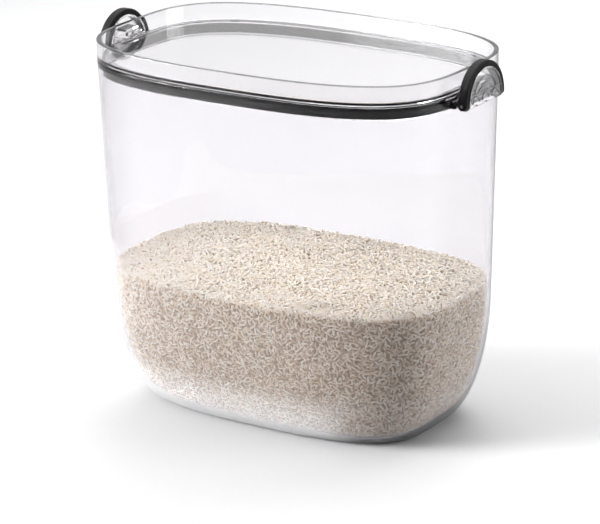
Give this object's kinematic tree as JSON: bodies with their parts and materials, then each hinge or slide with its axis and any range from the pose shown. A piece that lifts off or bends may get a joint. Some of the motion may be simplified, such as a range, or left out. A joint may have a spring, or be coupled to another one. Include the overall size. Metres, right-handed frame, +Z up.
{
  "type": "dry goods storage bin",
  "caption": "Clear oval storage bin part filled with rice, with a gasketed tray lid that flips up about one end and a clear latch with a soft arch at each end.",
  "frame": {"origin": "centre of the tub's base, on the surface that it stands on", "axes": "+Z up, X along the long side with the lid's hinge end at -X, Y across"},
  "size_m": [0.3278, 0.197, 0.2928],
  "materials": {
    "clear_tub": "clear polished",
    "rice_grains": "milled rice, matt",
    "clear_lid": "clear polished",
    "clear_latch": "clear polished",
    "gasket_rubber": "satin charcoal",
    "soft_black": "satin black",
    "pin_steel": "blackened"
  },
  "bodies": {
    "tub": {"tub": "clear_tub", "rice": "rice_grains", "left_pin": "pin_steel", "right_pin": "pin_steel"},
    "lid": {"lid": "clear_lid", "lid_gasket": "gasket_rubber"},
    "left_latch": {"left_latch": "clear_latch", "left_latch_arch": "soft_black"},
    "right_latch": {"right_latch": "clear_latch", "right_latch_arch": "soft_black"}
  },
  "joints": [
    {"name": "lid_flip", "type": "hinge", "parent": "tub", "child": "lid", "pos_m": [-0.1594, 0, 0.2645], "axis": [0, -1, 0], "range_deg": [0, 100]},
    {"name": "left_latch_turn", "type": "hinge", "parent": "lid", "child": "left_latch", "pos_m": [-0.1594, 0, 0.2645], "axis": [0, -1, 0], "range_deg": [0, 65]},
    {"name": "right_latch_turn", "type": "hinge", "parent": "tub", "child": "right_latch", "pos_m": [0.1594, 0, 0.2645], "axis": [0, 1, 0], "range_deg": [0, 165]}
  ]
}
